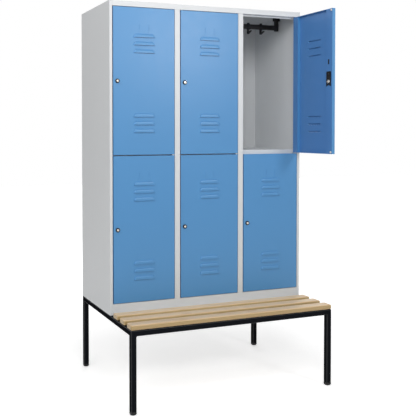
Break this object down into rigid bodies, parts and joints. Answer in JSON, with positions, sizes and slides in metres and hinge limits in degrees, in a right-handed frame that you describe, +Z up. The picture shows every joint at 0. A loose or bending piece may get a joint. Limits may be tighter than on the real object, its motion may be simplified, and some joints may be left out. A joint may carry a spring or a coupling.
{
  "type": "locker with bench",
  "caption": "Tiered sheet-metal locker with louvred swing doors, cam locks and coat rails, on a square-tube stand that reaches out in front to carry a slatted wooden seat.",
  "frame": {"origin": "middle of the bounding box at floor level, with the upper right door standing open at 91 degrees", "axes": "+Z up, +Y from the seat towards the back, +X to the right of someone who faces the doors"},
  "size_m": [1.19, 0.8468, 2.11],
  "materials": {
    "body_grey": "light grey powder coat, satin",
    "door_blue": "light blue powder coat, satin",
    "anthracite": "anthracite powder coat, satin",
    "wood": "clear varnished softwood",
    "black_plastic": "moulded black plastic",
    "nickel": "nickel plate",
    "zinc": "zinc plate",
    "cream_rubber": "matt cream"
  },
  "bodies": {
    "locker_body": {"side_panel_left": "body_grey", "side_panel_right": "body_grey", "partition_left_middle": "body_grey", "partition_middle_right": "body_grey", "roof_panel": "body_grey", "floor_panel": "body_grey", "back_panel": "body_grey", "shelf_left": "body_grey", "shelf_middle": "body_grey", "shelf_right": "body_grey", "pivot_block_left": "zinc", "pivot_block_middle": "zinc", "pivot_block_right": "zinc", "stand": "anthracite", "foot_cap_front_left": "black_plastic", "foot_cap_back_left": "black_plastic", "foot_cap_front_right": "black_plastic", "foot_cap_back_right": "black_plastic", "slat_1": "wood", "slat_2": "wood", "slat_3": "wood", "coat_rail_lower_left": "black_plastic", "coat_rail_lower_middle": "black_plastic", "coat_rail_lower_right": "black_plastic", "coat_rail_upper_left": "black_plastic", "coat_rail_upper_middle": "black_plastic", "coat_rail_upper_right": "black_plastic"},
    "door_body_lower_left": {"door_lower_left": "door_blue", "lock_body_lower_left": "black_plastic", "buffer_lower_left_top": "cream_rubber", "buffer_lower_left_bottom": "cream_rubber"},
    "cam_body_lower_left": {"lock_cam_lower_left": "nickel"},
    "door_body_lower_middle": {"door_lower_middle": "door_blue", "lock_body_lower_middle": "black_plastic", "buffer_lower_middle_top": "cream_rubber", "buffer_lower_middle_bottom": "cream_rubber"},
    "cam_body_lower_middle": {"lock_cam_lower_middle": "nickel"},
    "door_body_lower_right": {"door_lower_right": "door_blue", "lock_body_lower_right": "black_plastic", "buffer_lower_right_top": "cream_rubber", "buffer_lower_right_bottom": "cream_rubber"},
    "cam_body_lower_right": {"lock_cam_lower_right": "nickel"},
    "door_body_upper_left": {"door_upper_left": "door_blue", "lock_body_upper_left": "black_plastic", "buffer_upper_left_top": "cream_rubber", "buffer_upper_left_bottom": "cream_rubber"},
    "cam_body_upper_left": {"lock_cam_upper_left": "nickel"},
    "door_body_upper_middle": {"door_upper_middle": "door_blue", "lock_body_upper_middle": "black_plastic", "buffer_upper_middle_top": "cream_rubber", "buffer_upper_middle_bottom": "cream_rubber"},
    "cam_body_upper_middle": {"lock_cam_upper_middle": "nickel"},
    "door_body_upper_right": {"door_upper_right": "door_blue", "lock_body_upper_right": "black_plastic", "buffer_upper_right_top": "cream_rubber", "buffer_upper_right_bottom": "cream_rubber"},
    "cam_body_upper_right": {"lock_cam_upper_right": "nickel"},
    "hook_body_1": {"hook_upper_right_1": "black_plastic"},
    "hook_body_2": {"hook_upper_right_2": "black_plastic"},
    "hook_body_3": {"hook_upper_right_3": "black_plastic"}
  },
  "joints": [
    {"name": "hinge_lower_left", "type": "hinge", "parent": "locker_body", "child": "door_body_lower_left", "pos_m": [-0.22233, -0.07108, 0.487], "axis": [0, 0, 1], "range_deg": [0, 105]},
    {"name": "lock_turn_lower_left", "type": "hinge", "parent": "door_body_lower_left", "child": "cam_body_lower_left", "pos_m": [-0.551, -0.07108, 0.88338], "axis": [0, -1, 0], "range_deg": [0, 90]},
    {"name": "hinge_lower_middle", "type": "hinge", "parent": "locker_body", "child": "door_body_lower_middle", "pos_m": [0.17433, -0.07108, 0.487], "axis": [0, 0, 1], "range_deg": [0, 105]},
    {"name": "lock_turn_lower_middle", "type": "hinge", "parent": "door_body_lower_middle", "child": "cam_body_lower_middle", "pos_m": [-0.15433, -0.07108, 0.88338], "axis": [0, -1, 0], "range_deg": [0, 90]},
    {"name": "hinge_lower_right", "type": "hinge", "parent": "locker_body", "child": "door_body_lower_right", "pos_m": [0.571, -0.07108, 0.487], "axis": [0, 0, 1], "range_deg": [0, 105]},
    {"name": "lock_turn_lower_right", "type": "hinge", "parent": "door_body_lower_right", "child": "cam_body_lower_right", "pos_m": [0.24233, -0.07108, 0.88338], "axis": [0, -1, 0], "range_deg": [0, 90]},
    {"name": "hinge_upper_left", "type": "hinge", "parent": "locker_body", "child": "door_body_upper_left", "pos_m": [-0.22233, -0.07108, 1.28575], "axis": [0, 0, 1], "range_deg": [0, 105]},
    {"name": "lock_turn_upper_left", "type": "hinge", "parent": "door_body_upper_left", "child": "cam_body_upper_left", "pos_m": [-0.551, -0.07108, 1.68213], "axis": [0, -1, 0], "range_deg": [0, 90]},
    {"name": "hinge_upper_middle", "type": "hinge", "parent": "locker_body", "child": "door_body_upper_middle", "pos_m": [0.17433, -0.07108, 1.28575], "axis": [0, 0, 1], "range_deg": [0, 105]},
    {"name": "lock_turn_upper_middle", "type": "hinge", "parent": "door_body_upper_middle", "child": "cam_body_upper_middle", "pos_m": [-0.15433, -0.07108, 1.68213], "axis": [0, -1, 0], "range_deg": [0, 90]},
    {"name": "hinge_upper_right", "type": "hinge", "parent": "locker_body", "child": "door_body_upper_right", "pos_m": [0.571, -0.07108, 1.28575], "axis": [0, 0, 1], "range_deg": [-91, 14]},
    {"name": "lock_turn_upper_right", "type": "hinge", "parent": "door_body_upper_right", "child": "cam_body_upper_right", "pos_m": [0.57674, -0.39969, 1.68213], "axis": [0.9998, 0.0175, 0], "range_deg": [0, 90]},
    {"name": "hook_slide_1", "type": "slide", "parent": "locker_body", "child": "hook_body_1", "axis": [1, 0, 0], "range_m": [-0.035, 0.035]},
    {"name": "hook_slide_2", "type": "slide", "parent": "locker_body", "child": "hook_body_2", "axis": [1, 0, 0], "range_m": [-0.035, 0.035]},
    {"name": "hook_slide_3", "type": "slide", "parent": "locker_body", "child": "hook_body_3", "axis": [1, 0, 0], "range_m": [-0.035, 0.035]}
  ]
}
